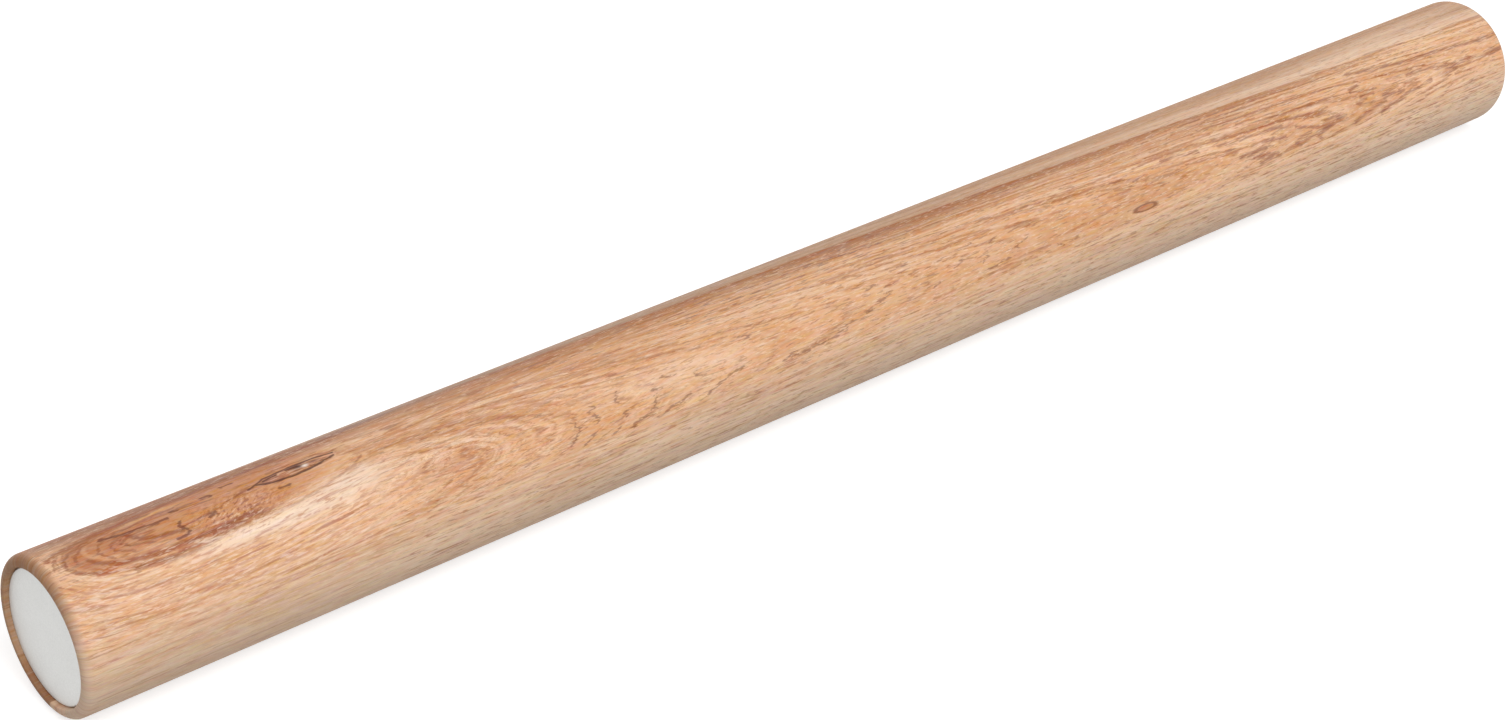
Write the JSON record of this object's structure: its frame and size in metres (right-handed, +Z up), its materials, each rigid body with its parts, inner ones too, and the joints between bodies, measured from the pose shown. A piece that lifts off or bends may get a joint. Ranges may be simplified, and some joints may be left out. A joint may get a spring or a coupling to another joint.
{
  "type": "rolling pin",
  "caption": "Straight one-piece wooden dowel rolling pin with rounded ends and a round satin steel plate let into each end.",
  "frame": {"origin": "middle of the roller's axis", "axes": "+X along the roller's axis towards the right end, +Z up as the pin lies on a worktop"},
  "size_m": [0.45, 0.035, 0.035],
  "materials": {
    "oiled_wood": "satin",
    "satin_steel": "satin",
    "plate_adhesive": "matte"
  },
  "bodies": {
    "root": {"roller": "oiled_wood", "left_end_plate": "satin_steel", "left_plate_adhesive": "plate_adhesive", "right_end_plate": "satin_steel", "right_plate_adhesive": "plate_adhesive"}
  },
  "joints": []
}
